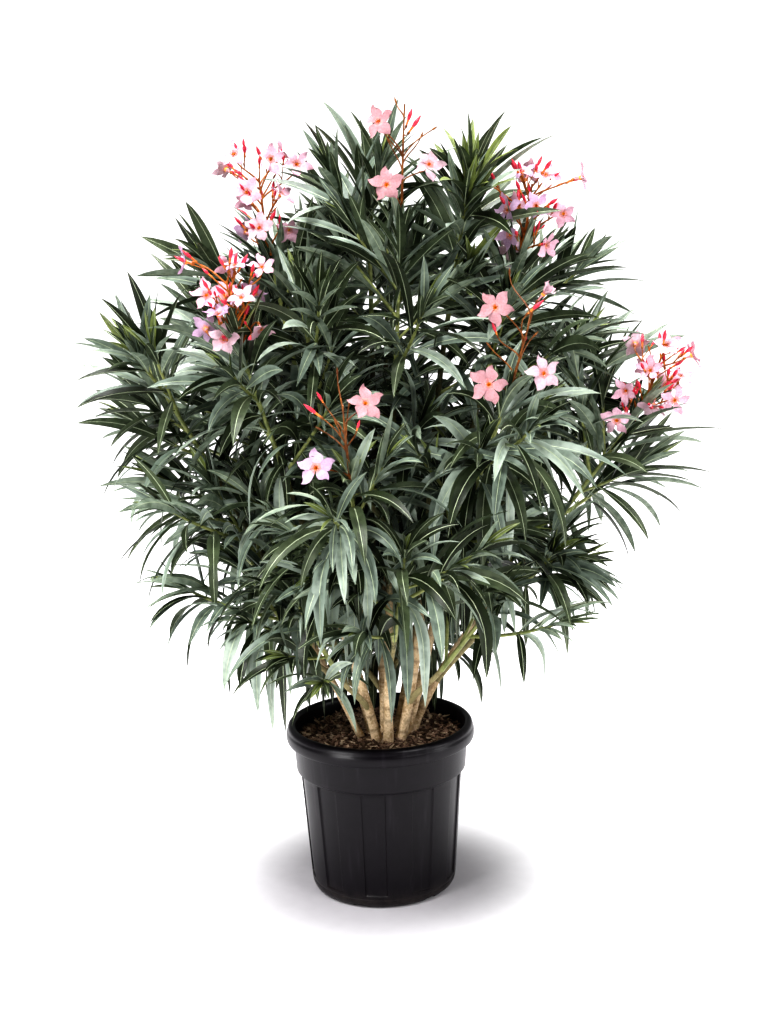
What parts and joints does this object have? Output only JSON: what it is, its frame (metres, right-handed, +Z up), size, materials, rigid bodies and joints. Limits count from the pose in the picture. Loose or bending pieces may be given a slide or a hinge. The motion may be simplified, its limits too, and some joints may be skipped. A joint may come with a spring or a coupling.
{
  "type": "potted oleander",
  "caption": "Flowering evergreen shrub with many stems, narrow leaves and pink flower heads, standing in a round black fluted pot.",
  "frame": {"origin": "centre of the pot's flat underside", "axes": "+Z up along the pot's axis, +X to the right seen from the front, -Y to the front"},
  "size_m": [1.2496, 1.3197, 1.6126],
  "materials": {
    "pot": "satin black moulded plastic",
    "soil": "rough bark compost",
    "stem": "smooth tan bark with leaf scars",
    "bough": "smooth grey-green bark",
    "foliage": "leathery dark green leaves"
  },
  "bodies": {
    "root": {"pot": "pot", "soil": "soil", "stem_far_left": "stem", "stem_left": "stem", "stem_front_left": "stem", "stem_centre": "stem", "stem_centre_right": "stem", "stem_right": "stem", "stem_far_right": "stem", "stem_back_right": "stem", "stem_back": "stem", "stem_middle": "stem", "bough_back_left_crown": "bough", "bough_front_left_crown": "bough", "bough_left_back": "bough", "bough_right_back": "bough", "bough_right_front": "bough", "bough_front": "bough", "bough_back_left": "bough", "bough_back": "bough", "bough_back_right": "bough", "bough_left_mid": "bough", "bough_front_low": "bough", "bough_front_left_low": "bough", "bough_left_low": "bough", "bough_front_right_low": "bough", "bough_right_low": "bough", "bough_back_left_low": "bough", "bough_back_right_low": "bough", "foliage_top_front": "foliage", "foliage_top_right": "foliage", "foliage_top_left": "foliage", "foliage_left_crown": "foliage", "foliage_right_crown": "foliage", "foliage_back_crown": "foliage", "foliage_back_right_crown": "foliage", "foliage_left_front": "foliage", "foliage_far_left": "foliage", "foliage_far_right": "foliage", "foliage_back_left_crown": "foliage", "foliage_front_left_crown": "foliage", "foliage_left_back": "foliage", "foliage_right_back": "foliage", "foliage_right_front": "foliage", "foliage_front": "foliage", "foliage_back_left": "foliage", "foliage_back": "foliage", "foliage_back_right": "foliage", "foliage_left_mid": "foliage", "foliage_front_low": "foliage", "foliage_front_left_low": "foliage", "foliage_left_low": "foliage", "foliage_front_right_low": "foliage", "foliage_right_low": "foliage", "foliage_back_left_low": "foliage", "foliage_back_right_low": "foliage"}
  },
  "joints": []
}
